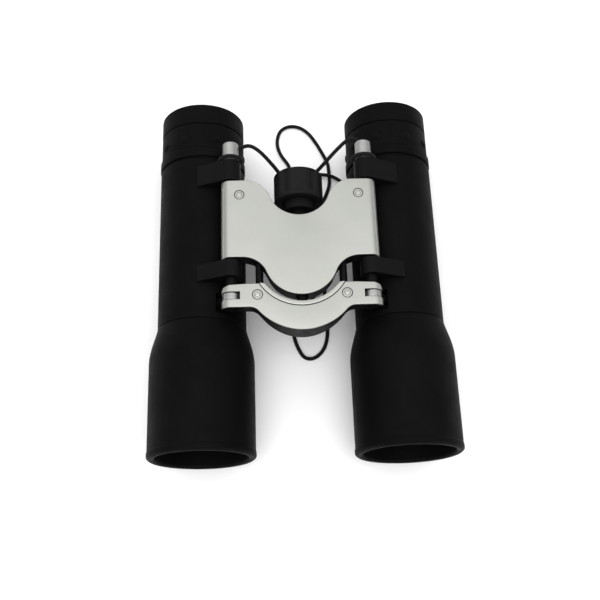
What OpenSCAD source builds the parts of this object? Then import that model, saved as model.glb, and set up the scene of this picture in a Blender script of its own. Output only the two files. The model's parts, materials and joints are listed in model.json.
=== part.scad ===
// Compact double-hinge roof-prism binoculars, lying on their barrels with the bridge plate up.
// X runs across the barrels, +Y towards the eyepieces, +Z up; Z = 0 is the surface under the bells.
// Places along Y inside the modules count from the objective rim; from_rim() centres the whole.

/* [Overall] */
// Length from the objective rim to the eyecup rim
body_len = 140; // [138:1:142]
// Distance between the two barrel axes as stored
barrel_gap = 75.8; // [75:0.2:77]

/* [Barrels] */
// Outer radius of the objective bell
bell_r = 20; // [19.6:0.1:20.2]
// Outer radius of the rubber-covered tube
tube_r = 16.85; // [16.6:0.05:17]
// Outer radius of the metal tube under the rubber
metal_r = 15.6; // [15.4:0.1:15.7]
// Where the bell starts to narrow
shoulder_y = 38.7; // [37:0.1:39]
// Seam between the bell armour and the tube armour
seam_y = 49; // [48.5:0.1:50]
// Radius of the objective mouth
mouth_r = 17.1; // [16.8:0.1:17.2]
// Depth of the recess in front of the metal tube
mouth_depth = 9.2; // [8:0.1:10]
// Start of the eyepiece collar
collar_y = 116.2; // [115.5:0.1:117]
// Start of the studded ring
ring_y = 120.4; // [120:0.1:121]
// Start of the rubber eyecup
cup_y = 131.4; // [131:0.1:132]
// Number of grip studs round the ring
studs = 9; // [6:1:12]

/* [Hinges] */
// Height of the hinge rods
rod_z = 39; // [38.8:0.1:39.2]
// Sideways distance of each hinge rod from the middle
rod_x = 25.9; // [25.6:0.1:26.2]
// Radius of the sliding hinge rod
rod_r = 2.1; // [2:0.05:2.2]
// Radius of the silver cap on the rod's end
cap_r = 3.1; // [2.9:0.05:3.15]
// Radius of the lug round the rod
lug_r = 4; // [3.8:0.1:4.2]

/* [Bridge] */
// Underside of the silver plates
plate_z = 42; // [41.96:0.02:42.2]
// Thickness of the silver plates
plate_t = 0.6; // [0.5:0.1:0.8]
// Underside of the bridge body
bridge_z = 35; // [34.8:0.1:35.4]
// Radius of the notch round the focus knob
notch_r = 11.9; // [11.5:0.1:12.2]
// Radius of the rounded tongue
tongue_r = 13.6; // [13.2:0.1:13.8]
// Radius of a rivet head
rivet_r = 1.95; // [1.6:0.05:2.2]

/* [Focusing] */
// Radius of the focus knob
knob_r = 9.3; // [8.8:0.1:9.6]
// Length of the focus knob
knob_len = 11.3; // [10:0.1:11.5]
// Number of broad flutes round the knob
flutes = 5; // [4:1:12]
// Radius of the guide bars
guide_r = 1.45; // [1.2:0.05:1.5]

/* [Optics] */
// Radius of the objective lens
lens_r = 16; // [15.5:0.1:16]
// Radius of the eye lens
eye_r = 10.6; // [10:0.1:11]

/* [Strap] */
// Diameter of the braided cord
cord_d = 1.5; // [1.4:0.1:1.6]

/* [Hidden] */
$fn = 96;

rubber = [0.08, 0.08, 0.09];
black_metal = [0.12, 0.12, 0.13];
silver = [0.75, 0.76, 0.74];
steel = [0.6, 0.61, 0.6];
brass = [0.72, 0.58, 0.3];
glass = [0.65, 0.78, 0.82];
cord_colour = [0.05, 0.05, 0.05];

fit = 0.05;
barrel_x = barrel_gap / 2;
barrel_z = bell_r;
arm_run = [barrel_x - rod_x, barrel_z - rod_z];
arm_len = norm(arm_run);
arm_turn = atan2(arm_run[0], -arm_run[1]);

lug_low = [62.9, 69.3];
lug_high = [102.3, 111];
cap_end_y = 119.3;
rod_span = [51.4, 115];

plate_top_y = 101.8;
plate_low_y = 70.2;
plate_outer_x = 29.6;
notch_y = 99;
tongue_y = 68.7;
ear_x = 20.4;
waist_x = 21.8;
hinge_tube_r = 2.95;
curl_in = plate_z - rod_z;
curl_end_z = rod_z - 1.2;

carrier_z = 36.2;
belly_r = 30;
belly_z = 31.6;
cradle_y = 69;
cradle_r = 16.6;
nose_y = 62.7;
nose_r = 21;
carrier_low_y = 50.6;
carrier_top_y = 59.5;
carrier_waist_x = 19.36;
window = [53.5, 56.6];
window_x = 22.6;
lip_w = 1.6;
arm_y = [53.8, 56.3];
hub_r = 3.2;

shaft_z = 38.5;
knob_y = 93.3;
bearing_y = [82, 93];
nut_y = [43.5, 52];
nut_r = 3.2;
guide_x = 15.5;
guide_z = 38.6;
guide_span = [53.5, 80];
focus_travel = 2.3;

cell_y = [12.3, 33, 58];
sleeve_r = 14.05;
rivet_at = [22.5, 95.7];
carrier_rivet_at = [16.3, 55.2];

hank_mid = [0, 22];
hank_run = 24;
hank_r = [4, 8.6];
hank_h = 2 * cord_d + 0.05;
loop_y = 42.2;

// Route of the cord from the left loop to the hank, chosen by hand, in the part's own frame
left_route = [
    [-23.5, 42.2, 35.6], [-23.5, 45, 35.6], [-22.8, 47.9, 36], [-20.7, 50, 36.5],
    [-17.8, 50, 36.7], [-14.9, 48.3, 36.1], [-12.2, 46, 34.9], [-9.4, 43.4, 33],
    [-7, 41.3, 30.6], [-4.9, 39.9, 27.4], [-3, 40, 23.4], [-1.9, 41.5, 18.8],
    [-1.6, 42.7, 13.6], [-1.6, 43.4, 8.8], [-1.6, 44, 4.9], [-1.6, 45.8, 1.9],
    [-1.6, 49.2, 0.8], [-1.6, 54.6, 0.8], [-2, 60.8, 0.8], [-5.2, 66.4, 0.8],
    [-6.7, 70.8, 0.8], [-6.7, 75, 0.8], [-5, 79.2, 0.8], [-1.2, 81.2, 0.8],
    [3.2, 80.5, 0.8], [7.1, 77.4, 0.8], [10.4, 72.2, 0.8], [13, 66.8, 0.8],
    [14.9, 62, 0.8], [15.3, 57, 0.8], [15.2, 52, 0.8], [13.9, 47.6, 0.8],
    [12, 43.4, 0.8], [10.2, 39.2, 0.8], [8.8, 34.6, 0.8], [7.9, 29.6, 0.8]
];
// Route of the cord from the hank to the right loop
right_route = [
    [7.9, 12, 2.3], [8, 7, 2.1], [7.4, 2.2, 1.3], [5.4, -2, 0.8],
    [2.4, -5.8, 0.8], [-0.6, -9.6, 0.8], [-2.4, -13.8, 0.8], [-2.1, -18.2, 0.8],
    [-0.6, -22.8, 0.8], [1.6, -26.2, 0.8], [4.6, -26.9, 0.8], [7.6, -25.3, 0.8],
    [9.9, -22.2, 0.8], [11.2, -17.6, 0.8], [11.4, -11.8, 0.8], [11.2, -5, 0.8],
    [11, 2, 0.8], [11, 9, 0.8], [11, 16, 0.8], [11, 23, 0.8], [11.6, 29.8, 0.8],
    [13.4, 35.6, 0.8], [16.2, 41, 0.8], [19.6, 45, 0.8], [21.8, 49.2, 0.8],
    [20.8, 52.6, 0.8], [17.8, 54.4, 1.9], [14.9, 55.3, 2.6], [12, 56.1, 1.9],
    [8.8, 57.2, 0.8], [5.4, 56.8, 0.8], [3, 53.8, 0.8], [1.9, 49.8, 0.8],
    [1.6, 45.9, 1.9], [1.6, 44, 4.9], [1.6, 43.4, 8.8], [1.6, 42.7, 13.6],
    [1.9, 41.5, 18.8], [3, 40, 23.4], [5.1, 40, 27.6], [7.8, 41.3, 31],
    [10.6, 43.3, 33.4], [13.6, 46, 35.2], [16.8, 48.9, 36.6], [19.8, 51.2, 37.6],
    [22.6, 52, 37.6], [25, 51.2, 36.2], [25.9, 48.6, 34.9], [26, 45.4, 34.7],
    [25.9, 42.2, 34.8]
];

// ---- helpers ----

module from_rim() {
    translate([0, -body_len / 2, 0]) children();
}

module mirrored(left) {
    if (left) mirror([1, 0, 0]) children();
    else children();
}

module both_sides() {
    children();
    mirror([1, 0, 0]) children();
}

// A cylinder along Y from y0 to y1
module y_rod(r, y0, y1) {
    translate([0, y0, 0]) rotate([-90, 0, 0]) cylinder(r = r, h = y1 - y0);
}

// A turned part along Y; profile points are [radius, y]
module turned(profile) {
    rotate([-90, 0, 0]) rotate_extrude() polygon(profile);
}

// A shape drawn in X and Z, extruded along Y from y0 to y1
module y_slab(y0, y1) {
    translate([0, y1, 0]) rotate([90, 0, 0]) linear_extrude(y1 - y0) children();
}

module at_barrel() {
    translate([barrel_x, 0, barrel_z]) children();
}

module at_rod() {
    translate([rod_x, 0, rod_z]) children();
}

function arc(c, r, a0, a1, n) =
    [for (i = [0 : n]) c + r * [cos(a0 + (a1 - a0) * i / n), sin(a0 + (a1 - a0) * i / n)]];

// Radius of the arc at sideways distance x that touches both a circle of radius r and a straight
// edge, where d is the height of the circle's centre above that edge
function blend_r(x, d, r) = (x * x + d * d - r * r) / (2 * (r - d));

// An outline from its right half, which starts and ends on the middle line
function whole(half) =
    concat(half, [for (i = [len(half) - 2 : -1 : 1]) [-half[i][0], half[i][1]]]);

// The upper plate's right half, drawn g inside its edge
function plate_half(g) =
    let (
        nr = notch_r + g,
        tr = tongue_r - g,
        top = plate_top_y - g,
        low = plate_low_y + g,
        er = blend_r(ear_x, notch_y - top, nr),
        wr = blend_r(waist_x, tongue_y - low, tr),
        ea = atan2(notch_y - top + er, ear_x),
        wa = atan2(tongue_y - low + wr, waist_x)
    )
    concat(
        arc([0, notch_y], nr, -90, -ea, 10),
        arc([ear_x, top - er], er, 180 - ea, 90, 8),
        [[27.4, top - 0.2], [28.9, top - 1], [plate_outer_x, top - 2.6], [plate_outer_x, low - 0.6]],
        [[27.4, low]],
        arc([waist_x, low - wr], wr, 90, 180 - wa, 6),
        arc([0, tongue_y], tr, -wa, -90, 10)
    );

// The focus bridge's right half, drawn g inside its edge
function carrier_half(g) =
    let (
        cr = cradle_r + g,
        nr = nose_r - g,
        top = carrier_top_y - g,
        low = carrier_low_y + g,
        ca = asin((cradle_y - top) / cr),
        wr = blend_r(carrier_waist_x, nose_y - low, nr),
        wa = atan2(nose_y - low + wr, carrier_waist_x)
    )
    concat(
        arc([0, cradle_y], cr, -90, -ca, 8),
        [[26.4, top], [28.8, top - 0.9], [plate_outer_x - 0.2, top - 1.6]],
        [[plate_outer_x - 0.2, low + 0.4], [28.6, low]],
        arc([carrier_waist_x, low - wr], wr, 90, 180 - wa, 4),
        arc([0, nose_y], nr, -wa, -90, 8)
    );

// A sheet skin with both side edges curled down round the rods
module curled_skin() {
    translate([-rod_x, 0, plate_z]) cube([2 * rod_x, body_len, plate_t]);
    both_sides() at_rod() difference() {
        y_rod(curl_in + plate_t, 0, body_len);
        y_rod(curl_in, -1, body_len + 1);
        translate([-10, -1, -10]) cube([10, body_len + 2, 20]);
        translate([-10, -1, -10]) cube([20, body_len + 2, 10 + curl_end_z - rod_z]);
    }
}

module outline_prism(points, z0, z1) {
    translate([0, 0, z0]) linear_extrude(z1 - z0) polygon(points);
}

module rivet_at_point(p, depth) {
    translate([p[0], p[1], plate_z + plate_t]) rotate_extrude()
        polygon([
            [0, -depth], [1.1, -depth], [1.1, 0], [rivet_r, 0], [rivet_r, 0.15],
            [rivet_r * 0.8, 0.4], [rivet_r * 0.45, 0.55], [0, 0.6]
        ]);
}

module rivet_hole(p, depth) {
    translate([p[0], p[1], plate_z + plate_t - depth]) cylinder(r = 1.1, h = depth + 1);
}

// ---- bridge ----

module bridge_body() {
    color(black_metal) from_rim() difference() {
        union() {
            intersection() {
                outline_prism(whole(plate_half(0.4)), bridge_z, plate_z);
                translate([-rod_x, 0, 0]) cube([2 * rod_x, body_len, 60]);
            }
            both_sides() at_rod() y_rod(hinge_tube_r, plate_low_y, plate_top_y - 0.3);
        }
        both_sides() at_rod() y_rod(rod_r + fit, 0, body_len);
        both_sides() translate([guide_x, 0, guide_z]) y_rod(guide_r, 0, guide_span[1]);
        translate([0, 0, shaft_z]) y_rod(2.5 + fit, 0, body_len);
        translate([0, 0, shaft_z]) y_rod(3.3, bearing_y[0], body_len);
        both_sides() rivet_hole(rivet_at, 3);
    }
}

module top_plate() {
    color(silver) from_rim() difference() {
        intersection() {
            curled_skin();
            outline_prism(whole(plate_half(0)), 0, 60);
        }
        both_sides() rivet_hole(rivet_at, 3);
    }
}

module plate_rivets() {
    color(silver) from_rim() both_sides() rivet_at_point(rivet_at, 3);
}

module focus_bearing() {
    flange_y = notch_y - notch_r + 2.2;
    flange_r = 6.4;
    color(black_metal) from_rim() translate([0, 0, shaft_z]) turned([
        [2.5 + fit, bearing_y[0]], [3.3, bearing_y[0]], [3.3, flange_y], [flange_r, flange_y],
        [flange_r, bearing_y[1]], [2.5 + fit, bearing_y[1]]
    ]);
}

module guide_bars() {
    color(black_metal) from_rim() both_sides()
        translate([guide_x, 0, guide_z]) y_rod(guide_r, guide_span[0], guide_span[1]);
}

// ---- focus knob and its screw ----

module focus_knob() {
    flute_r = 7;
    flute_out = knob_r + flute_r - 0.8;
    edge = 0.5;
    color(rubber) from_rim() translate([0, 0, shaft_z]) difference() {
        turned([
            [2.5, knob_y], [knob_r - edge, knob_y], [knob_r, knob_y + edge],
            [knob_r, knob_y + knob_len - 1], [knob_r - 1, knob_y + knob_len],
            [2.5, knob_y + knob_len]
        ]);
        for (i = [0 : flutes - 1]) {
            a = 54 + i * 360 / flutes;
            translate([flute_out * cos(a), 0, flute_out * sin(a)])
                y_rod(flute_r, knob_y + 1.2, knob_y + knob_len + 1);
        }
    }
}

module focus_shaft() {
    color(steel) from_rim() translate([0, 0, shaft_z]) turned([
        [0, 45.6], [1.6, 45.6], [2, 46], [2, 57.5], [2.5, 57.5],
        [2.5, knob_y + knob_len], [0, knob_y + knob_len]
    ]);
}

module knob_end_cap() {
    cap_y = knob_y + knob_len;
    color(black_metal) from_rim() translate([0, 0, shaft_z]) turned([
        [0, cap_y], [5.6, cap_y], [5.6, cap_y + 0.3], [5.2, cap_y + 0.6], [0, cap_y + 0.6]
    ]);
}

// ---- focus bridge ----

module focus_carrier() {
    color(black_metal) from_rim() difference() {
        union() {
            intersection() {
                outline_prism(whole(carrier_half(0.4)), belly_z - 1, plate_z);
                union() {
                    translate([-window_x + 0.6, 0, carrier_z])
                        cube([2 * window_x - 1.2, body_len, 20]);
                    translate([0, 0, belly_z + belly_r]) y_rod(belly_r, 0, body_len);
                }
                translate([-window_x + 0.6, 0, 0]) cube([2 * window_x - 1.2, body_len, 60]);
            }
            for (span = [[carrier_low_y + 0.4, window[0]], [window[1], carrier_top_y - 1.6]])
                both_sides() {
                    at_rod() y_rod(curl_in, span[0], span[1]);
                    translate([window_x - 2, span[0], carrier_z])
                        cube([rod_x - window_x + 2, span[1] - span[0], plate_z - carrier_z]);
                }
        }
        both_sides() at_rod() y_rod(rod_r + fit, 0, body_len);
        both_sides() translate([guide_x, 0, guide_z]) y_rod(guide_r + fit, 50.9, body_len);
        translate([0, 0, shaft_z]) y_rod(2.3, 42.6, body_len);
        translate([0, 0, shaft_z]) y_rod(nut_r, nut_y[0], body_len);
        both_sides() rivet_hole(carrier_rivet_at, 2);
    }
}

module focus_plate() {
    color(silver) from_rim() difference() {
        union() {
            intersection() {
                curled_skin();
                outline_prism(whole(carrier_half(0)), 0, 60);
            }
            intersection() {
                outline_prism(whole(carrier_half(0.05)), plate_z, plate_z + plate_t + 0.35);
                translate([0, cradle_y, plate_z]) cylinder(r = cradle_r + lip_w, h = 10);
                translate([-13.5, 0, 0]) cube([27, body_len, 60]);
            }
        }
        both_sides() translate([window_x, window[0], bridge_z])
            cube([20, window[1] - window[0], 20]);
        both_sides() rivet_hole(carrier_rivet_at, 2);
    }
}

module focus_rivets() {
    color(silver) from_rim() both_sides() rivet_at_point(carrier_rivet_at, 2);
}

module focus_nut() {
    color(brass) from_rim() translate([0, 0, shaft_z]) turned([
        [2 + fit, nut_y[0]], [nut_r, nut_y[0]], [nut_r, nut_y[1]], [2 + fit, nut_y[1]]
    ]);
}

// ---- barrels: every module below draws the right one ----

// The arm of a hinge lug, drawn in X and Z
module lug_shape() {
    slope = atan2(rod_z - barrel_z - tube_r - 0.6, arm_run[0] + 0.8) + asin(lug_r / 12.9);
    polygon([
        [barrel_x + 0.8, barrel_z + tube_r + 0.6],
        [rod_x + lug_r * sin(slope), rod_z + lug_r * cos(slope)],
        [rod_x, rod_z],
        [rod_x - lug_r * 0.5, rod_z - lug_r * 0.866],
        [barrel_x - (tube_r - 0.2) * cos(40), barrel_z + (tube_r - 0.2) * sin(40)],
        [barrel_x - 8, barrel_z + 8],
        [barrel_x + 0.8, barrel_z + 12]
    ]);
}

module lug(span) {
    y_slab(span[0], span[1]) lug_shape();
    at_rod() y_rod(lug_r, span[0], span[1]);
}

// The slot through the barrel wall that the focus arm slides in
module arm_slot() {
    at_barrel() rotate([0, -arm_turn, 0])
        translate([-3.2, arm_y[0] - focus_travel - 0.2, 10])
            cube([6.4, arm_y[1] - arm_y[0] + 2 * focus_travel + 0.4, 12]);
}

module barrel_tube(left) {
    color(black_metal) from_rim() mirrored(left) difference() {
        union() {
            at_barrel() turned([
                [sleeve_r + fit, 40], [lens_r + 1.4, 40], [lens_r + 1.4, mouth_depth],
                [18.3, mouth_depth], [18.3, 39.5], [metal_r, seam_y - 1], [metal_r, cup_y],
                [14.9, cup_y], [14.9, cup_y + 2.6], [sleeve_r + fit, cup_y + 2.6]
            ]);
            difference() {
                union() {
                    lug(lug_low);
                    lug(lug_high);
                }
                at_barrel() y_rod(metal_r - 0.6, 0, body_len);
            }
        }
        at_rod() y_rod(rod_r + fit, 0, body_len);
        arm_slot();
    }
}

module tube_armour(left) {
    edge = 0.3;
    color(rubber) from_rim() mirrored(left) difference() {
        at_barrel() turned([
            [metal_r, seam_y + 0.15], [tube_r - edge, seam_y + 0.15],
            [tube_r, seam_y + 0.15 + edge], [tube_r, collar_y - 1], [tube_r - 0.45, collar_y - 0.4],
            [tube_r - 0.45, collar_y], [metal_r, collar_y]
        ]);
        lug(lug_low);
        lug(lug_high);
        arm_slot();
    }
}

module bell_armour(left) {
    color(rubber) from_rim() mirrored(left) at_barrel() turned([
        [mouth_r, 0.8], [mouth_r + 0.8, 0.2], [bell_r - 1, 0], [bell_r - 0.3, 0.4], [bell_r, 1.2],
        [bell_r, 6.2], [bell_r - 0.15, 6.5], [bell_r - 0.15, shoulder_y], [tube_r, seam_y],
        [metal_r, seam_y], [metal_r, seam_y - 1], [18.3, 39.5], [18.3, mouth_depth],
        [mouth_r, mouth_depth]
    ]);
}

module collar(left) {
    band_r = tube_r + 0.25;
    color(black_metal) from_rim() mirrored(left) at_barrel() turned([
        [metal_r, collar_y + 0.1], [band_r - 0.3, collar_y + 0.1], [band_r, collar_y + 0.4],
        [band_r, ring_y - 0.5], [band_r - 0.3, ring_y - 0.2], [metal_r, ring_y - 0.2]
    ]);
}

// The studded ring; it turns on the tube where it sets the dioptre
module studded_ring(left) {
    band_r = tube_r - 0.25;
    hole_r = left ? metal_r : metal_r + fit;
    color(rubber) from_rim() mirrored(left) at_barrel() union() {
        turned([
            [hole_r, ring_y], [band_r, ring_y], [band_r, cup_y - 0.5],
            [band_r - 0.3, cup_y - 0.2], [hole_r, cup_y - 0.2]
        ]);
        for (i = [0 : studs - 1])
            rotate([0, 20 + i * 360 / studs, 0]) translate([0, ring_y + 4.1, band_r - 0.9])
                cylinder(r1 = 1.9, r2 = 1, h = 1.45);
    }
}

module eyecup(left) {
    cup_r = tube_r - 0.2;
    color(rubber) from_rim() mirrored(left) at_barrel() turned([
        [14.9, cup_y + 0.1], [cup_r - 0.3, cup_y + 0.1], [cup_r, cup_y + 0.4],
        [cup_r, body_len - 0.5], [cup_r - 0.2, body_len - 0.1], [cup_r - 0.6, body_len],
        [cup_r - 1.9, body_len - 0.2], [12.8, body_len - 2], [12.3, cup_y + 3],
        [12.3, cup_y + 2.7], [14.9, cup_y + 2.7]
    ]);
}

module rod_cap(left) {
    color(steel) from_rim() mirrored(left) at_rod() turned([
        [0, cap_end_y - 1.2], [rod_r + fit, cap_end_y - 1.2], [rod_r + fit, lug_high[1]],
        [cap_r, lug_high[1]], [cap_r, cap_end_y - 0.5], [cap_r - 0.5, cap_end_y], [0, cap_end_y]
    ]);
}

module prism_cage(left) {
    color(black_metal) from_rim() mirrored(left) at_barrel() difference() {
        y_rod(sleeve_r, 62, 102);
        translate([-8.6, 61, -9.6]) cube([17.2, 42, 19.2]);
    }
}

// Roof prism with its ridge along the sloping upper side
module roof_prism(left) {
    color(glass) from_rim() mirrored(left) at_barrel() intersection() {
        translate([-8.4, 0, 0]) rotate([90, 0, 90]) linear_extrude(16.8)
            polygon([[82.6, -9], [100.5, -9], [100.5, 4], [94, 9.4], [90.4, 9.4]]);
        y_slab(60, 104)
            polygon([[-8.4, -9.4], [8.4, -9.4], [8.4, 4], [2.4, 9.4], [-2.4, 9.4], [-8.4, 4]]);
    }
}

module half_prism(left) {
    color(glass) from_rim() mirrored(left) at_barrel()
        translate([-8.4, 0, 0]) rotate([90, 0, 90]) linear_extrude(16.8)
            polygon([[63.5, -9.4], [81.4, -9.4], [88.6, 8.4], [72, 9.4], [63.5, 4]]);
}

module eyepiece_tube(left) {
    color(black_metal) from_rim() mirrored(left) at_barrel() turned([
        [eye_r, 104], [sleeve_r, 104], [sleeve_r, cup_y + 2.6], [12.1, cup_y + 2.6],
        [12.1, cup_y + 1.6], [eye_r, cup_y + 1.6]
    ]);
}

// A lens of radius r between edge planes y0 and y1, with its faces bulging s0 and s1
function lens_profile(r, y0, s0, y1, s1) =
    concat(
        [for (i = [0 : 8]) [r * i / 8, y0 - s0 * (1 - pow(i / 8, 2))]],
        [for (i = [8 : -1 : 0]) [r * i / 8, y1 + s1 * (1 - pow(i / 8, 2))]]
    );

module field_lens(left) {
    color(glass) from_rim() mirrored(left) at_barrel()
        turned(lens_profile(eye_r, 107, 1.4, 109.5, 1));
}

module eye_lens(left) {
    color(glass) from_rim() mirrored(left) at_barrel()
        turned(lens_profile(eye_r, 128.2, 1.6, 132.4, 0.6));
}

module eye_lens_ring(left) {
    color(black_metal) from_rim() mirrored(left) at_barrel() turned([
        [eye_r - 0.8, cup_y + 1.6], [12.1, cup_y + 1.6], [12.1, cup_y + 2.6],
        [eye_r - 0.3, cup_y + 2.6]
    ]);
}

// ---- focusing carriage of a barrel ----

module hinge_rod(left) {
    color(steel) from_rim() mirrored(left) at_rod() y_rod(rod_r, rod_span[0], rod_span[1]);
}

module focus_arm(left) {
    color(silver) from_rim() mirrored(left) difference() {
        union() {
            at_barrel() rotate([0, -arm_turn, 0])
                translate([-2.6, arm_y[0], sleeve_r - 0.6])
                    cube([5.2, arm_y[1] - arm_y[0], arm_len - sleeve_r + 0.6]);
            at_rod() y_rod(hub_r, arm_y[0], arm_y[1]);
        }
        at_rod() y_rod(rod_r, 0, body_len);
        at_barrel() y_rod(sleeve_r, 0, body_len);
    }
}

module objective_cell(left) {
    wall_r = lens_r + 1.35;
    color(black_metal) from_rim() mirrored(left) at_barrel() turned([
        [lens_r, cell_y[0]], [wall_r, cell_y[0]], [wall_r, cell_y[1]], [sleeve_r, cell_y[1]],
        [sleeve_r, cell_y[2]], [12.9, cell_y[2]], [12.9, 31], [15.2, 31], [15.2, 21], [lens_r, 21]
    ]);
}

module objective_crown(left) {
    color(glass) from_rim() mirrored(left) at_barrel()
        turned(lens_profile(lens_r, 15, 1.3, 17.4, 1.4));
}

module objective_flint(left) {
    color(glass) from_rim() mirrored(left) at_barrel()
        turned(lens_profile(lens_r, 17.4, -1.4, 21, -0.3));
}

module objective_ring(left) {
    color(black_metal) from_rim() mirrored(left) at_barrel() turned([
        [lens_r - 1.2, 14.6], [lens_r - 0.4, cell_y[0]], [lens_r, cell_y[0]], [lens_r, 14.8]
    ]);
}

// ---- neck strap ----

function unit(v) = v / norm(v);

// The direction of the route at point i
function heading(route, i) =
    unit(route[min(i + 1, len(route) - 1)] - route[max(i - 1, 0)]);

// A direction square to heading h, carried on from the one before, p
function carried(h, p) = unit(p - h * (h * p));

// A side direction at every point of the route, free of twist
function sides(route, i, p) =
    i >= len(route) ? []
    : let (q = carried(heading(route, i), p)) concat([q], sides(route, i + 1, q));

// A tube along a route, with n sides and a ring at every point
module tube(route, r, n, first_side) {
    side = sides(route, 0, first_side);
    points = [
        for (i = [0 : len(route) - 1])
            let (h = heading(route, i), u = side[i], v = cross(h, u))
            for (k = [0 : n - 1])
                route[i] + r * (cos(k * 360 / n) * u + sin(k * 360 / n) * v)
    ];
    last = (len(route) - 1) * n;
    walls = [
        for (i = [0 : len(route) - 2]) for (k = [0 : n - 1])
            let (a = i * n + k, b = i * n + (k + 1) % n)
            each [[a, b + n, b], [a, a + n, b + n]]
    ];
    polyhedron(
        points = points,
        faces = concat(
            walls,
            [[for (k = [0 : n - 1]) k]],
            [[for (k = [n - 1 : -1 : 0]) last + k]]
        )
    );
}

// The loop of cord hitched round a rod's cap
module strap_loop(left) {
    color(cord_colour) mirrored(left) translate([rod_x, loop_y, rod_z]) rotate([-90, 0, 0])
        rotate_extrude() translate([cap_r + 0.3 + cord_d / 2, 0]) circle(r = cord_d / 2, $fn = 32);
}

module strap_cord_left() {
    color(cord_colour) tube(left_route, cord_d / 2, 8, [1, 0, 0]);
}

module strap_cord_right() {
    color(cord_colour) tube(right_route, cord_d / 2, 8, [1, 0, 0]);
}

module hank_outline(r) {
    translate([-r, -hank_run / 2]) square([2 * r, hank_run]);
    translate([0, hank_run / 2]) circle(r = r);
    translate([0, -hank_run / 2]) circle(r = r);
}

module strap_hank() {
    color(cord_colour) translate([hank_mid[0], hank_mid[1], 0]) linear_extrude(hank_h)
        difference() {
            hank_outline(hank_r[1]);
            hank_outline(hank_r[0]);
        }
}

// The band that holds the hank together at its middle
module hank_tie() {
    band = 0.5;
    half_w = hank_r[1] + band;
    color(cord_colour) translate([hank_mid[0], hank_mid[1] - 1.5, 0]) difference() {
        translate([-half_w, 0, 0]) cube([2 * half_w, 3, hank_h + band]);
        translate([-hank_r[1], -1, band / 2]) cube([2 * hank_r[1], 5, hank_h - band / 2]);
    }
}

bridge_body();
top_plate();
plate_rivets();
focus_bearing();
guide_bars();
focus_knob();
focus_shaft();
knob_end_cap();
focus_carrier();
focus_plate();
focus_rivets();
focus_nut();
barrel_tube(true);  // left_barrel_tube
tube_armour(true);  // left_tube_armour
bell_armour(true);  // left_bell_armour
collar(true);  // left_collar
studded_ring(true);  // left_grip_ring
eyecup(true);  // left_eyecup
rod_cap(true);  // left_rod_cap
prism_cage(true);  // left_prism_cage
roof_prism(true);  // left_roof_prism
half_prism(true);  // left_half_prism
eyepiece_tube(true);  // left_eyepiece_tube
field_lens(true);  // left_field_lens
eye_lens(true);  // left_eye_lens
eye_lens_ring(true);  // left_eye_lens_ring
hinge_rod(true);  // left_hinge_rod
focus_arm(true);  // left_focus_arm
objective_cell(true);  // left_objective_cell
objective_crown(true);  // left_objective_crown
objective_flint(true);  // left_objective_flint
objective_ring(true);  // left_objective_ring
barrel_tube(false);  // right_barrel_tube
tube_armour(false);  // right_tube_armour
bell_armour(false);  // right_bell_armour
collar(false);  // right_collar
studded_ring(false);  // dioptre_ring
eyecup(false);  // right_eyecup
rod_cap(false);  // right_rod_cap
prism_cage(false);  // right_prism_cage
roof_prism(false);  // right_roof_prism
half_prism(false);  // right_half_prism
eyepiece_tube(false);  // right_eyepiece_tube
field_lens(false);  // right_field_lens
eye_lens(false);  // right_eye_lens
eye_lens_ring(false);  // right_eye_lens_ring
hinge_rod(false);  // right_hinge_rod
focus_arm(false);  // right_focus_arm
objective_cell(false);  // right_objective_cell
objective_crown(false);  // right_objective_crown
objective_flint(false);  // right_objective_flint
objective_ring(false);  // right_objective_ring
strap_loop(true);  // left_strap_loop
strap_cord_left();
strap_hank();
hank_tie();
strap_cord_right();
strap_loop(false);  // right_strap_loop
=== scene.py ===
import bpy, bmesh, json, math
from mathutils import Matrix, Vector


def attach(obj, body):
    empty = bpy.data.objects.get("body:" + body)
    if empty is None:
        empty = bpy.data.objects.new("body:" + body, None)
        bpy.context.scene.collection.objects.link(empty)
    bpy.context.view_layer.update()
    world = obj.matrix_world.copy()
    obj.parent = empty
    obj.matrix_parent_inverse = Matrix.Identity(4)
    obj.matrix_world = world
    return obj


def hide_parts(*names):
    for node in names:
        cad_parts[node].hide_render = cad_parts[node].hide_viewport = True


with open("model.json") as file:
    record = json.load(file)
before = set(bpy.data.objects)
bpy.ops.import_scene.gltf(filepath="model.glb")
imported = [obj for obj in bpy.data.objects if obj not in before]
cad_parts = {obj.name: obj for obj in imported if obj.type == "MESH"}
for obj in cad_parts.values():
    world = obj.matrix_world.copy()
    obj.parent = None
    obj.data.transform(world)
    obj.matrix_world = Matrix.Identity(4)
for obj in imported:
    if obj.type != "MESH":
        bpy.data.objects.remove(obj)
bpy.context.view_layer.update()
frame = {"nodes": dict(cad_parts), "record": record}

RIM = -70.0                      # y of the objective rim in the row frame, mm
MM = 0.001
AXIS = (37.9, 20.0)              # barrel axis x, z
ROD = (25.9, 39.0)               # hinge rod x, z
SHAFT_Z = 38.5                   # focus shaft and knob axis
PLATE_LOW, PLATE_TOP = 42.0, 42.6  # undersides and tops of the two silver plates
NOOSE_R, NOOSE_Y = 4.15, 42.2    # the cord's hitch round each rod cap
STUDS, FIRST_STUD = 9, 110       # studs round a grip ring, and the angle of the first


# ---------- camera ----------
ORBIT = -1.6                     # turn of the camera about the barrels' direction, degrees


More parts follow.
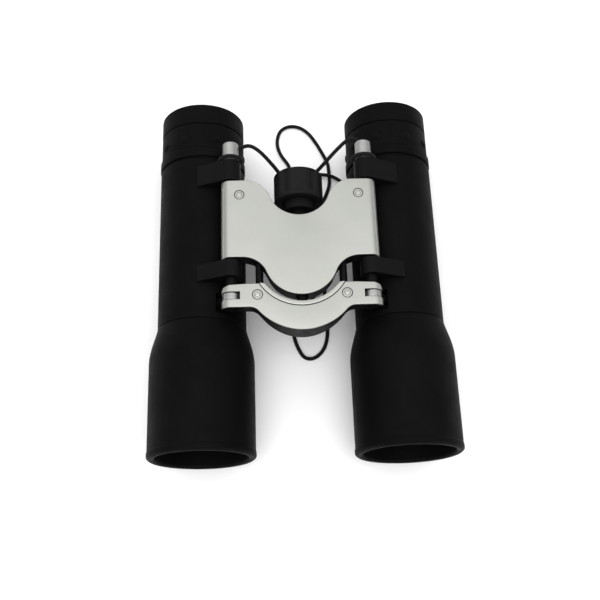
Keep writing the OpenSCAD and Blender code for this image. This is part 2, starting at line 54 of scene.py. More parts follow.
def camera():
    pitch, yaw, roll = map(math.radians, (69.281, 1.785, -0.205))
    d = Vector((math.sin(yaw) * math.cos(pitch), math.cos(yaw) * math.cos(pitch), -math.sin(pitch)))
    r = Vector((math.cos(yaw), -math.sin(yaw), 0))
    u = r.cross(d)
    r2 = r * math.cos(roll) + u * math.sin(roll)
    u2 = u * math.cos(roll) - r * math.sin(roll)
    cam = bpy.data.cameras.new("camera")
    cam.sensor_width = 36
    cam.lens = 51.82
    cam.clip_start = 0.01
    o = bpy.data.objects.new("camera", cam)
    bpy.context.collection.objects.link(o)
    m = Matrix((r2, u2, -d)).transposed().to_4x4()
    m.translation = Vector((-4.05, -127.471, 333.903)) * MM
    pivot = Matrix.Translation(Vector((0, 0, 0.028)))
    o.matrix_world = pivot @ Matrix.Rotation(math.radians(ORBIT), 4, "Y") @ pivot.inverted() @ m
    bpy.context.scene.camera = o


camera()


# ---------- materials ----------
class Mat:
    def __init__(self, name, rough=0.5, metal=0.0, **sockets):
        self.m = bpy.data.materials.new(name)
        self.m.use_nodes = True
        self.t = self.m.node_tree
        self.b = self.t.nodes["Principled BSDF"]
        self.b.inputs["Metallic"].default_value = metal
        self.b.inputs["Roughness"].default_value = rough
        for k, v in sockets.items():
            self.b.inputs[k.replace("_", " ")].default_value = v
        self.co = self.t.nodes.new("ShaderNodeTexCoord").outputs["Object"]
        self.bump = None

    def node(self, kind, **inputs):
        n = self.t.nodes.new(kind)
        for k, v in inputs.items():
            n.inputs[k].default_value = v
        return n

    def link(self, a, b):
        self.t.links.new(a, b)

    def noise(self, scale, detail=3.0, stretch=None, co=None):
        n = self.node("ShaderNodeTexNoise", Scale=scale, Detail=detail, Roughness=0.6)
        co = co or self.co
        if stretch:
            mp = self.node("ShaderNodeMapping")
            mp.inputs["Scale"].default_value = stretch
            self.link(co, mp.inputs["Vector"])
            co = mp.outputs["Vector"]
        self.link(co, n.inputs["Vector"])
        return n.outputs["Fac"]

    def ramp(self, fac, stops):
        r = self.t.nodes.new("ShaderNodeValToRGB")
        e = r.color_ramp.elements
        while len(e) < len(stops):
            e.new(0.5)
        for el, (p, c) in zip(e, stops):
            el.position = p
            el.color = (*c, 1) if len(c) == 3 else c
        self.link(fac, r.inputs["Fac"])
        return r.outputs["Color"]

    def colour(self, fac, stops):
        self.link(self.ramp(fac, stops), self.b.inputs["Base Color"])

    def rough(self, fac, lo, hi, a=0.3, b=0.7):
        n = self.node("ShaderNodeMapRange")
        for k, v in (("From Min", a), ("From Max", b), ("To Min", lo), ("To Max", hi)):
            n.inputs[k].default_value = v
        self.link(fac, n.inputs["Value"])
        self.link(n.outputs["Result"], self.b.inputs["Roughness"])

    def relief(self, fac, strength, dist):
        n = self.node("ShaderNodeBump", Strength=strength, Distance=dist)
        self.link(fac, n.inputs["Height"])
        if self.bump:
            self.link(self.bump, n.inputs["Normal"])
        self.bump = n.outputs["Normal"]
        self.link(self.bump, self.b.inputs["Normal"])


def rubber(name, base=0.0017, rough=(0.56, 0.7), grain=0.25):
    m = Mat(name)
    m.b.inputs["Specular IOR Level"].default_value = 0.055
    m.colour(m.noise(60, 4), [(0.3, (base * 0.8,) * 3), (0.7, (base * 1.3, base * 1.3, base * 1.35))])
    m.rough(m.noise(140, 4), *rough)
    m.relief(m.noise(5200, 2), grain, 0.00004)
    m.relief(m.noise(900, 3), 0.12, 0.00005)
    return m.m


def black_metal():
    m = Mat("black_metal", Specular_IOR_Level=0.07)
    m.colour(m.noise(90, 4), [(0.3, (0.0022,) * 3), (0.7, (0.0036, 0.0036, 0.004))])
    m.rough(m.noise(300, 3), 0.38, 0.52)
    m.relief(m.noise(3000, 2), 0.18, 0.00003)
    return m.m


def satin_plate(name="satin_plate", k=1.0, metal=0.8):
    m = Mat(name, metal=metal, Specular_IOR_Level=0.4)
    m.colour(m.noise(45, 5), [(0.25, (0.36 * k, 0.366 * k, 0.342 * k)),
                              (0.75, (0.41 * k, 0.416 * k, 0.39 * k))])
    m.rough(m.noise(800, 4), 0.3, 0.42)
    m.relief(m.noise(6500, 2), 0.2, 0.00002)
    m.relief(m.noise(60, 2), 0.05, 0.0003)
    return m.m


def steel(name="steel_rod", c=0.36, rough=(0.32, 0.5)):
    m = Mat(name, metal=0.9)
    m.colour(m.noise(200, 4), [(0.3, (c * 0.8,) * 3), (0.7, (c * 1.1, c * 1.1, c * 1.06))])
    m.rough(m.noise(900, 3), *rough)
    m.relief(m.noise(500, 3, (0.6, 14, 0.6)), 0.25, 0.00003)
    return m.m


def brass():
    m = Mat("brass_bush", metal=1.0)
    m.colour(m.noise(200, 3), [(0.3, (0.5, 0.34, 0.12)), (0.7, (0.62, 0.44, 0.18))])
    m.rough(m.noise(500, 3), 0.28, 0.42)
    m.relief(m.noise(600, 2, (0.5, 12, 0.5)), 0.2, 0.00003)
    return m.m


def knob_plastic():
    m = Mat("knob_plastic", Specular_IOR_Level=0.12)
    m.colour(m.noise(120, 4), [(0.3, (0.0035,) * 3), (0.7, (0.0055, 0.0055, 0.006))])
    m.rough(m.noise(260, 4), 0.45, 0.6)
    m.relief(m.noise(4200, 2), 0.22, 0.00004)
    return m.m


def glass():
    m = Mat("optical_glass", rough=0.02, Transmission_Weight=1.0, IOR=1.52, Coat_Weight=0.5)
    m.b.inputs["Coat Tint"].default_value = (0.62, 0.58, 0.9, 1)
    m.colour(m.noise(25, 2), [(0.3, (0.40, 0.44, 0.46)), (0.7, (0.44, 0.48, 0.50))])
    return m.m


def braid():
    m = Mat("strap_cord", rough=0.8, Sheen_Weight=0.04, Sheen_Roughness=0.4, Specular_IOR_Level=0.15)
    uv = m.t.nodes.new("ShaderNodeUVMap").outputs["UV"]
    m.colour(m.noise(2500, 3), [(0.3, (0.003,) * 3), (0.7, (0.009,) * 3)])
    for turn in (1, -1):
        mp = m.node("ShaderNodeMapping")
        mp.inputs["Rotation"].default_value = (0, 0, turn * math.radians(45))
        m.link(uv, mp.inputs["Vector"])
        w = m.node("ShaderNodeTexWave", Scale=1.1, Distortion=0.0)
        m.link(mp.outputs["Vector"], w.inputs["Vector"])
        m.relief(w.outputs["Fac"], 0.5, 0.00012)
    return m.m


RUBBER = rubber("rubber_armour")
BLACK = black_metal()
PLATE = satin_plate()
STEEL = steel()
# The two darker plate looks below are painted shade: they darken the rings round the rivet heads and the line
# along the crescent lip, standing in for shadow there.
SHADE = satin_plate("plate_shade", 0.45, 0.6)
GROOVE_SHADOW = satin_plate("plate_groove_shadow", 0.08, 0.3)
BRASS = brass()
KNOB = knob_plastic()
GLASS = glass()
CORD = braid()
LOOKS = {"rubber_armour": RUBBER, "black_metal": BLACK, "satin_plate": PLATE, "steel_rod": STEEL,
         "brass_bush": BRASS, "knob_plastic": KNOB, "optical_glass": GLASS, "strap_cord": CORD}


# ---------- helpers ----------
def put(name, mesh, mat, body, sharp=35):
    mesh.materials.append(mat)
    for p in mesh.polygons:
        p.use_smooth = True
    mesh.set_sharp_from_angle(angle=math.radians(sharp))
    o = bpy.data.objects.new(name, mesh)
    bpy.context.collection.objects.link(o)
    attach(o, body)
    return o


def tube_mesh(name, path, r, n=16, closed=False):
    """A tube along path (mm), with UVs in braid cells: u round it, v along it."""
    pts = [Vector(p) for p in path]
    count = len(pts)
    last = count if closed else count - 1
    up = Vector((0, 0, 1))
    rings, verts = [], []
    side = None
    for i, p in enumerate(pts):
        a = pts[(i - 1) % count] if closed or i else pts[0]
        b = pts[(i + 1) % count] if closed or i < count - 1 else pts[-1]
        t = (b - a).normalized()
        if side is None:
            side = t.cross(up if abs(t.z) < 0.9 else Vector((1, 0, 0))).normalized()
        side = (side - t * side.dot(t)).normalized()
        v = t.cross(side)
        rings.append([p + r * (math.cos(2 * math.pi * k / n) * side + math.sin(2 * math.pi * k / n) * v)
                      for k in range(n)])
    verts = [q * MM for ring in rings for q in ring]
    faces, uvs = [], []
    along = [0.0]
    for i in range(last):
        along.append(along[-1] + (pts[(i + 1) % count] - pts[i]).length)
    for i in range(last):
        j = (i + 1) % count
        for k in range(n):
            k2 = (k + 1) % n
            faces.append((i * n + k, i * n + k2, j * n + k2, j * n + k))
            u0, u1 = k / n * 4, (k + 1) / n * 4
            uvs += [(u0, along[i]), (u1, along[i]), (u1, along[i + 1]), (u0, along[i + 1])]
    me = bpy.data.meshes.new(name)
    if not closed:
        faces += [tuple(range(n))[::-1], tuple((count - 1) * n + k for k in range(n))]
        uvs += [(0, 0)] * (2 * n)
    me.from_pydata(verts, [], faces)
    layer = me.uv_layers.new(name="UVMap")
    for loop, c in zip(layer.data, uvs):
        loop.uv = c
    me.update()
    return me


def smooth_path(points, step=0.6):
    """A smooth curve through points, cut evenly."""
    P = [Vector(p) for p in points]
    P = [2 * P[0] - P[1]] + P + [2 * P[-1] - P[-2]]
    fine = []
    for i in range(1, len(P) - 2):
        for k in range(24):
            t = k / 24
            a, b, c, d = P[i - 1:i + 3]
            fine.append(0.5 * ((2 * b) + (c - a) * t + (2 * a - 5 * b + 4 * c - d) * t * t
                               + (3 * b - a - 3 * c + d) * t ** 3))
    fine.append(P[-2])
    out, carry = [fine[0]], 0.0
    for a, b in zip(fine, fine[1:]):
        seg = (b - a).length
        while carry + seg >= step:
            f = (step - carry) / seg
            a = a + (b - a) * f
            out.append(a)
            seg = (b - a).length
            carry = 0.0
        carry += seg
    if (out[-1] - fine[-1]).length > step * 0.4:
        out.append(fine[-1])
    else:
        out[-1] = fine[-1]
    return out


# ---------- neck cord ----------
CORD_D = 1.5
LEFT_ROUTE = [
    (-23.5, 42.2, 35.6), (-23.5, 45, 35.6), (-22.8, 47.9, 36), (-20.7, 50, 36.5),
    (-17.8, 50, 36.7), (-14.9, 48.3, 36.1), (-12.2, 46, 34.9), (-9.4, 43.4, 33),
    (-7, 41.3, 30.6), (-4.9, 39.9, 27.4), (-3, 40, 23.4), (-1.9, 41.5, 18.8),
    (-1.6, 42.7, 13.6), (-1.6, 43.4, 8.8), (-1.6, 44, 4.9), (-1.6, 45.8, 1.9),
    (-1.6, 49.2, 0.8), (-1.6, 54.6, 0.8), (-2, 60.8, 0.8), (-5.2, 66.4, 0.8),
    (-6.7, 70.8, 0.8), (-6.7, 75, 0.8), (-5, 79.2, 0.8), (-1.2, 81.2, 0.8),
    (3.2, 80.5, 0.8), (7.1, 77.4, 0.8), (10.4, 72.2, 0.8), (13, 66.8, 0.8),
    (14.9, 62, 0.8), (15.3, 57, 0.8), (15.2, 52, 0.8), (13.9, 47.6, 0.8),
    (12, 43.4, 0.8), (10.2, 39.2, 0.8), (8.8, 34.6, 0.8), (7.9, 29.6, 0.8)]
RIGHT_ROUTE = [
    (7.9, 12, 2.3), (8, 7, 2.1), (7.4, 2.2, 1.3), (5.4, -2, 0.8),
    (2.4, -5.8, 0.8), (-0.6, -9.6, 0.8), (-2.4, -13.8, 0.8), (-2.1, -18.2, 0.8),
    (-0.6, -22.8, 0.8), (1.6, -26.2, 0.8), (4.6, -26.9, 0.8), (7.6, -25.3, 0.8),
    (9.9, -22.2, 0.8), (11.2, -17.6, 0.8), (11.4, -11.8, 0.8), (11.2, -5, 0.8),
    (11, 2, 0.8), (11, 9, 0.8), (11, 16, 0.8), (11, 23, 0.8), (11.6, 29.8, 0.8),
    (13.4, 35.6, 0.8), (16.2, 41, 0.8), (19.6, 45, 0.8), (21.8, 49.2, 0.8),
    (20.8, 52.6, 0.8), (17.8, 54.4, 1.9), (14.9, 55.3, 2.6), (12, 56.1, 1.9),
    (8.8, 57.2, 0.8), (5.4, 56.8, 0.8), (3, 53.8, 0.8), (1.9, 49.8, 0.8),
    (1.6, 45.9, 1.9), (1.6, 44, 4.9), (1.6, 43.4, 8.8), (1.6, 42.7, 13.6),
    (1.9, 41.5, 18.8), (3, 40, 23.4), (5.1, 40, 27.6), (7.8, 41.3, 31),
    (10.6, 43.3, 33.4), (13.6, 46, 35.2), (16.8, 48.9, 36.6), (19.8, 51.2, 37.6),
    (22.6, 52, 37.6), (25, 51.2, 36.2), (25.9, 48.6, 34.9), (26, 45.4, 34.7),
    (25.9, 42.2, 34.8)]
HANK = dict(mid=22.0, half=12.0, radii=(7.85, 6.3, 4.75), low=0.78, high=2.3)


def hank_path():
    """Six turns: inwards on the table, up a layer, outwards again. Steps are on the left run."""
    r0, r1, r2 = HANK["radii"]
    lo, hi = HANK["low"], HANK["high"]
    turns = [(r0, lo, r1, lo, 2), (r1, lo, r2, lo, 2), (r2, lo, r2, hi, 1),
             (r2, hi, r1, hi, 0), (r1, hi, r0, hi, 0), (r0, hi, None, hi, 0)]
    a, b = HANK["mid"] - HANK["half"], HANK["mid"] + HANK["half"]
    out = []
    for n, (r, z, rn, zn, third) in enumerate(turns):
        top = 25 if n == 0 else b
        out += [(r, top - (top - a) * i / 4, z) for i in range(5 if rn else 4)]
        if rn is None:
            break
        out += [(r * math.cos(-math.pi * i / 8), a + r * math.sin(-math.pi * i / 8), z)
                for i in range(1, 9)]
        for i in range(1, 13):
            f = min(max(i / 12 * 3 - third, 0), 1)
            f = f * f * (3 - 2 * f)
            out.append((-(r + (rn - r) * f), a + (b - a) * i / 12, z + (zn - z) * f))
        out += [(-rn * math.cos(math.pi * i / 8), b + rn * math.sin(math.pi * i / 8), zn)
                for i in range(1, 8)]
    return out


def cords():
    hank = hank_path()
    hank = hank[:-1] + [(HANK["radii"][0], 16.0, HANK["high"])]
    path = smooth_path(LEFT_ROUTE + hank[1:] + RIGHT_ROUTE)
    o = put("neck_cord", tube_mesh("neck_cord", path, CORD_D / 2), CORD, "bridge", 60)
    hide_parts("strap_cord_left", "strap_cord_right", "strap_hank")
    for side, sx in (("left", -1), ("right", 1)):
        ring = [(sx * ROD[0] + NOOSE_R * math.cos(a), NOOSE_Y, ROD[1] + NOOSE_R * math.sin(a))
                for a in (2 * math.pi * i / 48 for i in range(48))]
        hitch = tube_mesh(side + "_noose", ring, CORD_D / 2, closed=True)
        t = put(side + "_noose", hitch, CORD, "bridge", 60)
        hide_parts(side + "_strap_loop")


cords()

# ---------- piece helpers ----------
def corners(points, r, n=4):
    """Rounds the inner corners of an open profile of (radius, y) points."""
    out = [points[0]]
    for a, p, b in zip(points, points[1:], points[2:]):
        pa, pb = Vector(a) - Vector(p), Vector(b) - Vector(p)
        rr = min(r, pa.length * 0.45, pb.length * 0.45)
        s0, s1 = Vector(p) + pa.normalized() * rr, Vector(p) + pb.normalized() * rr
        for i in range(n + 1):
            t = i / n
            out.append(tuple((1 - t) ** 2 * s0 + 2 * t * (1 - t) * Vector(p) + t * t * s1))
    return out + [points[-1]]


def lathe(name, profile, at, mat, body, node, seg=144, wave=None, sharp=40):
    """Turns a profile of (radius, y from the rim) about the line along Y at (x, z)."""
    bm = bmesh.new()
    rows = []
    for r, y in profile:
        if r < 1e-6:
            rows.append([bm.verts.new(Vector((at[0], y + RIM, at[1])) * MM)])
            continue
        row = []
        for k in range(seg):
            a = 2 * math.pi * k / seg
            q = r - (wave(a, y) if wave else 0)
            at_angle = (at[0] + q * math.cos(a), y + RIM, at[1] + q * math.sin(a))
            row.append(bm.verts.new(Vector(at_angle) * MM))
        rows.append(row)
    closed = profile[0] != profile[-1] and profile[0][0] > 0 and profile[-1][0] > 0
    pairs = list(zip(rows, rows[1:])) + ([(rows[-1], rows[0])] if closed else [])
    for p, q in pairs:
        for k in range(seg):
            k2 = (k + 1) % seg
            ring = [p[k % len(p)], q[k % len(q)], q[k2 % len(q)], p[k2 % len(p)]]
            uniq = list(dict.fromkeys(ring))
            if len(uniq) > 2:
                bm.faces.new(uniq)
    bmesh.ops.recalc_face_normals(bm, faces=bm.faces)
    me = bpy.data.meshes.new(name)
    bm.to_mesh(me)
    bm.free()
    o = put(name, me, mat, body, sharp)
    if node:
        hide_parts(node)
    return o


def arc(c, r, a0, a1, n):
    return [(c[0] + r * math.cos(math.radians(a0 + (a1 - a0) * i / n)),
             c[1] + r * math.sin(math.radians(a0 + (a1 - a0) * i / n))) for i in range(n + 1)]


def blend_r(x, d, r):
    return (x * x + d * d - r * r) / (2 * (r - d))


def whole(half):
    return half + [(-x, y) for x, y in half[-2:0:-1]]


def plate_half(g):
    nr, tr, top, low = 11.9 + g, 13.6 - g, 101.8 - g, 70.2 + g
    er, wr = blend_r(20.4, 99 - top, nr), blend_r(21.8, 68.7 - low, tr)
    ea = math.degrees(math.atan2(99 - top + er, 20.4))
    wa = math.degrees(math.atan2(68.7 - low + wr, 21.8))
    return (arc((0, 99), nr, -90, -ea, 20) + arc((20.4, top - er), er, 180 - ea, 90, 14)
            + [(27.2, top)] + arc((30.6 - g, top - 2.2), 2.2, 90, 0, 8)
            + [(32.8 - g, low - 0.2), (32.4 - g, low - 0.5), (27.4, low)]
            + arc((21.8, low - wr), wr, 90, 180 - wa, 12) + arc((0, 68.7), tr, -wa, -90, 20))


def carrier_half(g):
    cr, nr, top, low = 16.6 + g, 21 - g, 59.5 - g, 50.6 + g
    ca = math.degrees(math.asin((69 - top) / cr))
    wr = blend_r(19.36, 62.7 - low, nr)
    wa = math.degrees(math.atan2(62.7 - low + wr, 19.36))
    return (arc((0, 69), cr, -90, -ca, 18) + [(20, top), (26.4, top - 0.3), (28.8, top - 0.9)]
            + [(31.2 - g, top - 1.7), (32.5 - g, top - 2.6), (32.5 - g, low + 1.2), (31.4 - g, low + 0.5)]
            + [(28.6, low), (24, low)]
            + arc((19.36, low - wr), wr, 90, 180 - wa, 10) + arc((0, 62.7), nr, -wa, -90, 18))


def sheet_plate(name, half, z0, z1, mat, body, nodes, edge=0.22, holes=(), curl=True, slits=()):
    """A plate from its outline, drawn flat with rounded upper edges, then curled round the rods."""
    rings = [(0, z0), (0, z1 - edge)]
    rings += [(edge * (1 - math.cos(math.radians(t))), z1 - edge + edge * math.sin(math.radians(t)))
              for t in (25, 50, 75, 90)]
    bm = bmesh.new()
    rows = [[bm.verts.new((x, y, z)) for x, y in whole(half(g))] for g, z in rings]
    n = len(rows[0])
    for p, q in zip(rows, rows[1:]):
        for k in range(n):
            bm.faces.new((p[k], p[(k + 1) % n], q[(k + 1) % n], q[k]))
    bm.faces.new(rows[-1])
    bm.faces.new(rows[0][::-1])
    cuts = [s * (ROD[0] + 0.6 * i) for s in (1, -1) for i in range(0, 13)] if curl else []
    for x in cuts:
        bmesh.ops.bisect_plane(bm, geom=bm.verts[:] + bm.edges[:] + bm.faces[:], plane_co=(x, 0, 0),
                               plane_no=(1, 0, 0), dist=1e-4)
    bmesh.ops.recalc_face_normals(bm, faces=bm.faces)
    for x0, x1, y0, y1 in slits:
        for co, no in (((x0, 0, 0), (1, 0, 0)), ((0, y0, 0), (0, 1, 0)), ((0, y1, 0), (0, 1, 0))):
            bmesh.ops.bisect_plane(bm, geom=bm.verts[:] + bm.edges[:] + bm.faces[:], plane_co=co,
                                   plane_no=no, dist=1e-4)
    if slits:
        gone = [f for f in bm.faces for x0, x1, y0, y1 in slits
                if min(x0, x1) < f.calc_center_median().x < max(x0, x1)
                and y0 < f.calc_center_median().y < y1]
        bmesh.ops.delete(bm, geom=gone, context="FACES")
        edge_verts = {v for e in bm.edges if e.is_boundary for v in e.verts}
        mid = (z0 + z1) / 2
        for x0, x1, y0, y1 in slits:
            side = 1 if x0 > 0 else -1
            end = [v for v in edge_verts
                   if abs(v.co.x - x0) < 1e-3 and y0 - 1e-3 < v.co.y < y1 + 1e-3]
            end.sort(key=lambda v: (v.co.z > mid, v.co.y if v.co.z > mid else -v.co.y))
            bm.faces.new(end)
            for y in (y0, y1):
                wall = [v for v in edge_verts
                        if abs(v.co.y - y) < 1e-3 and v.co.x * side > abs(x0) - 1e-3]
                up = sorted((v for v in wall if v.co.z > mid),
                            key=lambda v: (round(v.co.x * side, 4), -v.co.z))
                low = sorted((v for v in wall if v.co.z <= mid), key=lambda v: v.co.x * side)
                i = j = 0
                while i < len(up) - 1 or j < len(low) - 1:
                    if j == len(low) - 1 or (i < len(up) - 1
                                             and up[i + 1].co.x * side <= low[j + 1].co.x * side):
                        bm.faces.new((up[i], up[i + 1], low[j]))
                        i += 1
                    else:
                        bm.faces.new((up[i], low[j + 1], low[j]))
                        j += 1
        bmesh.ops.recalc_face_normals(bm, faces=bm.faces)
    bmesh.ops.triangulate(bm, faces=[f for f in bm.faces if len(f.verts) > 4])
    for v in bm.verts:
        x, y, z = v.co
        if curl and abs(x) > ROD[0]:
            s, r = (1 if x > 0 else -1), z - ROD[1]
            a = (abs(x) - ROD[0]) / 3.6
            x, z = s * (ROD[0] + r * math.sin(a)), ROD[1] + r * math.cos(a)
        v.co = Vector((x, y + RIM, z)) * MM
    me = bpy.data.meshes.new(name)
    bm.to_mesh(me)
    bm.free()
    o = put(name, me, mat, body, 32)
    if nodes:
        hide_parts(*nodes)
    return o


def rivet(name, points, r, body, node):
    """Domed heads, each standing in a shallow ring pressed round it."""
    # The third number picks the look: 0 plain plate, 1 and 2 darker plate, painted shade in the ring round
    # each head.
    prof = [(0, 0.4, 0), (0.3 * r, 0.39, 0), (0.42 * r, 0.34, 0), (0.5 * r, 0.22, 0),
            (0.53 * r, 0.06, 0), (0.58 * r, 0.03, 1), (0.63 * r, 0.08, 0), (0.79 * r, 0.09, 0),
            (0.83 * r, 0.03, 2), (0.97 * r, 0.02, 2), (r, 0.06, 0), (1.04 * r, -0.1, 0)]
    verts, faces, looks, seg = [], [], [], 48
    for cx, cy, cz in points:
        base = len(verts)
        verts.append(Vector((cx, cy + RIM, cz + prof[0][1])) * MM)
        for q, h, _ in prof[1:]:
            verts += [Vector((cx + q * math.cos(2 * math.pi * k / seg),
                              cy + RIM + q * math.sin(2 * math.pi * k / seg), cz + h)) * MM
                      for k in range(seg)]
        for k in range(seg):
            faces.append((base, base + 1 + k, base + 1 + (k + 1) % seg))
            looks.append(0)
            for i in range(len(prof) - 2):
                a = base + 1 + i * seg
                faces.append((a + k, a + seg + k, a + seg + (k + 1) % seg, a + (k + 1) % seg))
                looks.append(prof[i + 1][2])
    me = bpy.data.meshes.new(name)
    me.from_pydata(verts, [], faces)
    me.update()
    o = put(name, me, PLATE, body, 50)
    me.materials.append(SHADE)
    me.materials.append(GROOVE_SHADOW)
    for f, k in zip(me.polygons, looks):
        f.material_index = k
    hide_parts(node)
    return o


# ---------- bridge and focusing ----------
def bridge():
    sheet_plate("shield_plate", plate_half, PLATE_LOW, PLATE_TOP, PLATE, "bridge", ["top_plate"])
    rivet("shield_rivets", [(sx * 22.5, 95.7, PLATE_TOP) for sx in (1, -1)], 1.95,
          "bridge", "plate_rivets")
    slit = [(s * 22.6, s * 34, 53.5, 56.6) for s in (1, -1)]
    sheet_plate("crescent_plate", carrier_half, PLATE_LOW, PLATE_TOP, PLATE, "focus_bridge",
                ["focus_plate"], slits=slit)
    a = math.degrees(math.asin((69 - 59.5) / 16.6))
    b = math.degrees(math.asin((69 - 59.5) / 18.2))
    bm = bmesh.new()
    rings = [(0, 42.3), (0, 42.75), (0.08, 42.9), (0.25, 42.95)]
    rows = []
    for g, z in rings:
        inner = arc((0, 69), 16.6 + g, -180 + a + g, -a - g, 48)
        outer = arc((0, 69), 18.2 - g, -b - g, -180 + b + g, 48)
        rows.append([bm.verts.new(Vector((x, y + RIM, z)) * MM) for x, y in inner + outer])
    n = len(rows[0])
    for p, q in zip(rows, rows[1:]):
        for k in range(n):
            bm.faces.new((p[k], p[(k + 1) % n], q[(k + 1) % n], q[k]))
    h = n // 2
    for k in range(h - 1):
        bm.faces.new((rows[-1][k], rows[-1][k + 1], rows[-1][n - 2 - k], rows[-1][n - 1 - k]))
    bmesh.ops.recalc_face_normals(bm, faces=bm.faces)
    me = bpy.data.meshes.new("crescent_lip")
    bm.to_mesh(me)
    bm.free()
    put("crescent_lip", me, PLATE, "focus_bridge", 40)
    # A very dark strip just outside the crescent lip: painted shadow standing in for the groove there, not a
    # dark part of the plate.
    bm = bmesh.new()
    rows = [[bm.verts.new(Vector((x, y + RIM, z)) * MM) for x, y in arc((0, 69), r, -b, -180 + b, 48)]
            for r, z in ((18.15, 42.55), (18.15, 42.66), (18.5, 42.66), (18.5, 42.55))]
    for p, q in zip(rows, rows[1:]):
        for k in range(48):
            bm.faces.new((p[k], p[k + 1], q[k + 1], q[k]))
    bmesh.ops.recalc_face_normals(bm, faces=bm.faces)
    me = bpy.data.meshes.new("crescent_shadow_line")
    bm.to_mesh(me)
    bm.free()
    put("crescent_shadow_line", me, GROOVE_SHADOW, "focus_bridge", 40)
    rivet("crescent_rivets", [(sx * 16.3, 55.2, PLATE_TOP) for sx in (1, -1)], 2.0,
          "focus_bridge", "focus_rivets")

    def flutes(a, y):
        if y < 94.6 or y > 104.4:
            return 0
        d = min(abs((a - math.radians(54 + 72 * i) + math.pi) % (2 * math.pi) - math.pi) for i in range(5))
        w = math.radians(17)
        ends = min((y - 94.6) / 0.8, 1.0)
        return 0.75 * ends * (0.5 + 0.5 * math.cos(math.pi * min(d / w, 1)))
    prof = corners([(0, 93.3), (9.3, 93.3), (9.3, 104.6), (0, 104.6)], 0.55, 5)
    prof = prof[:-1]
    body = [p for p in prof if p[1] < 94.2] + [(9.3, 94.2 + 0.35 * i) for i in range(28)] + \
           [p for p in prof if p[1] > 103.9]
    lathe("knob_grip", body + [(0, 104.6)], (0, SHAFT_Z), KNOB, "knob", "focus_knob", 180, flutes)


bridge()


# ---------- barrels ----------
def barrels():
    bell = corners([(18.3, 9.2), (17.1, 9.2), (17.1, 0.9), (17.5, 0.2), (18.9, 0), (20, 0.8), (20, 2.4),
                    (19.8, 2.8), (19.8, 30), (19.8, 36)], 0.45, 5)[:-1] + \
        [(19.8 - 2.95 * f * f * (3 - 2 * f) ** 0.5, 35.4 + 13.55 * f)
         for f in (i / 16 for i in range(17))] + [(16.0, 49.0)]
    cup = corners([(14.9, 131.5), (16.35, 131.5), (16.65, 131.9), (16.65, 139.6), (16.2, 140),
                   (14.5, 139.8), (12.7, 137.9), (12.3, 134.3), (12.3, 134.1), (14.9, 134.1)], 0.3, 4)
    ring = corners([(15.65, 120.4), (16.6, 120.4), (16.6, 131.2), (15.65, 131.2)], 0.25, 4)
    band = corners([(15.6, 116.3), (16.9, 116.3), (17.1, 116.6), (17.1, 119.9), (16.9, 120.2),
                    (15.6, 120.2)], 0.15, 3)
    for side, sx in (("left", -1), ("right", 1)):
        at = (sx * AXIS[0], AXIS[1])
        b = side + "_barrel"
        lathe(side + "_bell", bell, at, RUBBER, b, side + "_bell_armour")
        lathe(side + "_cup", cup, at, RUBBER, b, side + "_eyecup")
        lathe(side + "_band", band, at, RUBBER, b, side + "_collar")
        rb, node = (b, "left_grip_ring") if sx < 0 else ("dioptre", "dioptre_ring")
        o = lathe(side + "_ring", ring, at, RUBBER, rb, None)
        me = o.data
        bm = bmesh.new()
        bm.from_mesh(me)
        for i in range(STUDS):
            a = math.radians(FIRST_STUD + 360 / STUDS * i)
            mat = (Matrix.Translation(Vector((at[0], 124.6 + RIM, at[1])) * MM)
                   @ Matrix.Rotation(-a + math.pi / 2, 4, "Y") @ Matrix.Translation((0, 0, 16.45 * MM))
                   @ Matrix.Diagonal((2.25 * MM, 1.75 * MM, 0.72 * MM, 1)))
            bmesh.ops.create_uvsphere(bm, u_segments=24, v_segments=14, radius=1, matrix=mat)
        bm.to_mesh(me)
        bm.free()
        for p in me.polygons:
            p.use_smooth = True
        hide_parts(node)
        cap = corners([(3.1, 111.0), (3.1, 119.0), (2.75, 119.3), (0, 119.3)], 0.2, 3)
        lathe(side + "_silver_cap", [(0, 111.0)] + cap, (sx * ROD[0], ROD[1]), STEEL, b,
              side + "_rod_cap", 72)


barrels()


# ---------- lenses ----------
def lens(r, y0, s0, y1, s1, n=20):
    """Section of a lens: rim radius, then the y and the bulge of its front and its back."""
    return [(r * i / n, y0 - s0 * (1 - (i / n) ** 2)) for i in range(n + 1)] + \
        [(r * i / n, y1 + s1 * (1 - (i / n) ** 2)) for i in range(n, -1, -1)]


def lenses():
    for side, sx in (("left", -1), ("right", 1)):
        for part, body, section in (("objective_crown", "carriage", lens(15.97, 15, 1.3, 17.38, 1.4)),
                                    ("objective_flint", "carriage", lens(15.97, 17.42, -1.4, 20.98, -0.3)),
                                    ("field_lens", "barrel", lens(10.57, 107.02, 1.4, 109.48, 1)),
                                    ("eye_lens", "barrel", lens(10.57, 128.22, 1.6, 132.38, 0.6))):
            name = side + "_" + part
            lathe(name + "_glass", section, (sx * AXIS[0], AXIS[1]), GLASS, side + "_" + body, name, 128)


lenses()

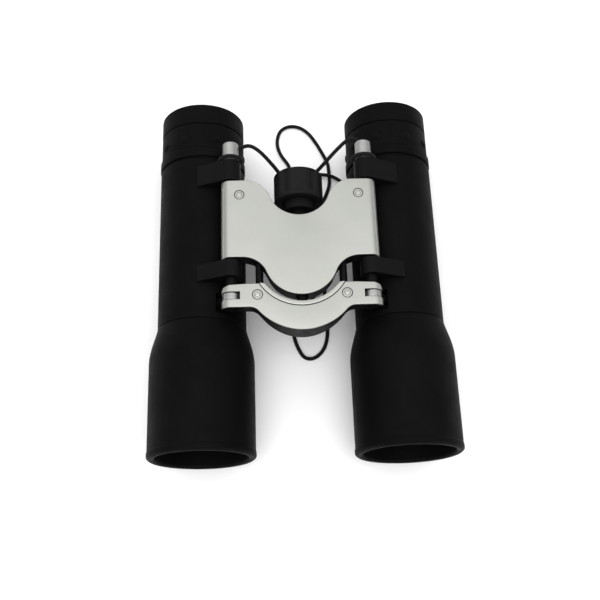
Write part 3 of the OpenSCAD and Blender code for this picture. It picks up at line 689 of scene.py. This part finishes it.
# ---------- carried-over CAD nodes ----------
slots = {s["node"]: s["material_slot"] for s in frame["record"]["subparts"]}
for n, o in frame["nodes"].items():
    o.data.materials.clear()
    look = BLACK if n.endswith("hinge_rod") or n in ("focus_bearing", "focus_shaft") else LOOKS[slots[n]]
    o.data.materials.append(look)
    if n.endswith("focus_arm"):
        o.data.materials.append(BLACK)
        for p in o.data.polygons:
            c = o.matrix_world @ p.center / MM
            p.material_index = 0 if math.hypot(abs(c.x) - ROD[0], c.z - ROD[1]) < 3.25 else 1


# ---------- stage ----------
def stage():
    me = bpy.data.meshes.new("floor")
    s = 3.0
    me.from_pydata([(-s, -s, 0), (s, -s, 0), (s, s, 0), (-s, s, 0)], [], [(0, 1, 2, 3)])
    f = bpy.data.objects.new("floor", me)
    bpy.context.collection.objects.link(f)
    m = Mat("floor", rough=0.9)
    m.colour(m.noise(3, 2), [(0.3, (0.96, 0.96, 0.96)), (0.7, (0.98, 0.98, 0.98))])
    me.materials.append(m.m)
    w = bpy.data.worlds.new("studio")
    bpy.context.scene.world = w
    w.use_nodes = True
    t = w.node_tree
    bg = t.nodes["Background"]
    bg.inputs["Strength"].default_value = 1.5
    split = t.nodes.new("ShaderNodeSeparateXYZ")
    ramp = t.nodes.new("ShaderNodeValToRGB")
    ramp.color_ramp.elements[0].position = 0.3
    ramp.color_ramp.elements[0].color = (0.36, 0.36, 0.36, 1)
    ramp.color_ramp.elements[1].position = 1.0
    ramp.color_ramp.elements[1].color = (1, 1, 1, 1)
    t.links.new(t.nodes.new("ShaderNodeTexCoord").outputs["Generated"], split.inputs["Vector"])
    t.links.new(split.outputs["Z"], ramp.inputs["Fac"])
    t.links.new(ramp.outputs["Color"], bg.inputs["Color"])
    bpy.context.scene.view_settings.view_transform = "Standard"
    for name, at, size, power in (("key", (-0.05, -0.4, 1.05), 1.0, 6.0), ("fill", (0.6, 0.3, 0.9), 0.8, 0.7),
                                  ("back", (-0.4, 0.75, 0.8), 0.9, 1.0)):
        light = bpy.data.lights.new(name, "AREA")
        light.energy = power
        light.size = size
        o = bpy.data.objects.new(name, light)
        bpy.context.collection.objects.link(o)
        o.location = at
        o.rotation_euler = (Vector((0, 0, 0.02)) - Vector(at)).to_track_quat("-Z", "Y").to_euler()


stage()
